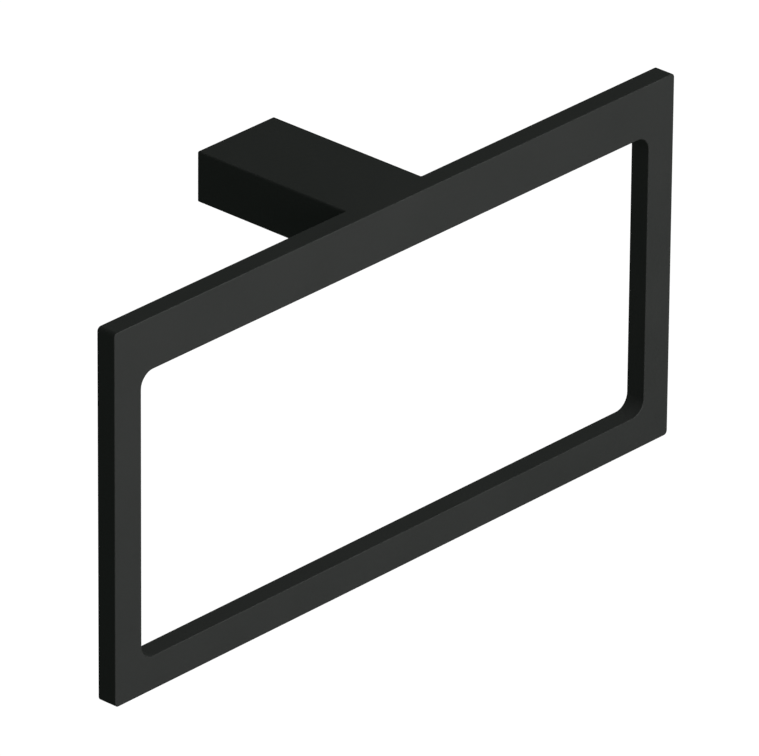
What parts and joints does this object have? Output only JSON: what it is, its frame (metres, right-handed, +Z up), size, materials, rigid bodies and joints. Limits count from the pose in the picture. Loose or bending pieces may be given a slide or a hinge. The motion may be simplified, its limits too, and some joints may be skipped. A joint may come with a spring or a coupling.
{
  "type": "towel holder",
  "caption": "Wall-mounted towel ring: a flat rectangular loop on a short hollow post that slides over a bracket and is locked from below by a set screw.",
  "frame": {"origin": "centre of the post's wall end, in the plane of the wall", "axes": "+X to the right along the loop, +Y into the wall, +Z up; the loop's front faces -Y"},
  "size_m": [0.22, 0.06, 0.1098],
  "materials": {
    "black_powder_coat": "matte, fine textured powder coat",
    "zinc_plated_steel": "bright zinc plating, slightly satin",
    "black_oxide_steel": "black oxide, lightly oiled"
  },
  "bodies": {
    "root": {"ring_frame": "black_powder_coat", "post": "black_powder_coat", "wall_bracket": "zinc_plated_steel", "grub_screw": "black_oxide_steel", "ring_screw_left": "black_oxide_steel", "ring_screw_right": "black_oxide_steel"}
  },
  "joints": []
}
